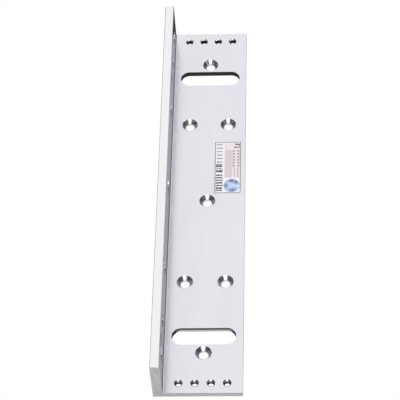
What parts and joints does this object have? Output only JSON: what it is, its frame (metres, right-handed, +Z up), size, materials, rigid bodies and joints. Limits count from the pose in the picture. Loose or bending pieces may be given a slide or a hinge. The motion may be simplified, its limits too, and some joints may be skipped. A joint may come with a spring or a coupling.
{
  "type": "magnetic door lock bracket",
  "caption": "L-shaped aluminium bracket of a magnetic door lock: a drilled, slotted plate with an upright leg, countersunk screw holes and a serial label.",
  "frame": {"origin": "centre of the plate's underside, at the middle of the bracket's length and overall width", "axes": "+X across the plate, away from the leg; +Y along the bracket's length; +Z up, out of the plate's drilled face, the way the leg stands"},
  "size_m": [0.047, 0.25, 0.0285],
  "materials": {
    "anodised_aluminium": "satin, clear anodised extrusion with bright machined countersinks",
    "label_film": "printed pale grey film with a thin dark border",
    "seal_foil": "pale blue foil with a darker rim"
  },
  "bodies": {
    "root": {"l_bracket": "anodised_aluminium", "serial_label": "label_film", "round_seal": "seal_foil"}
  },
  "joints": []
}
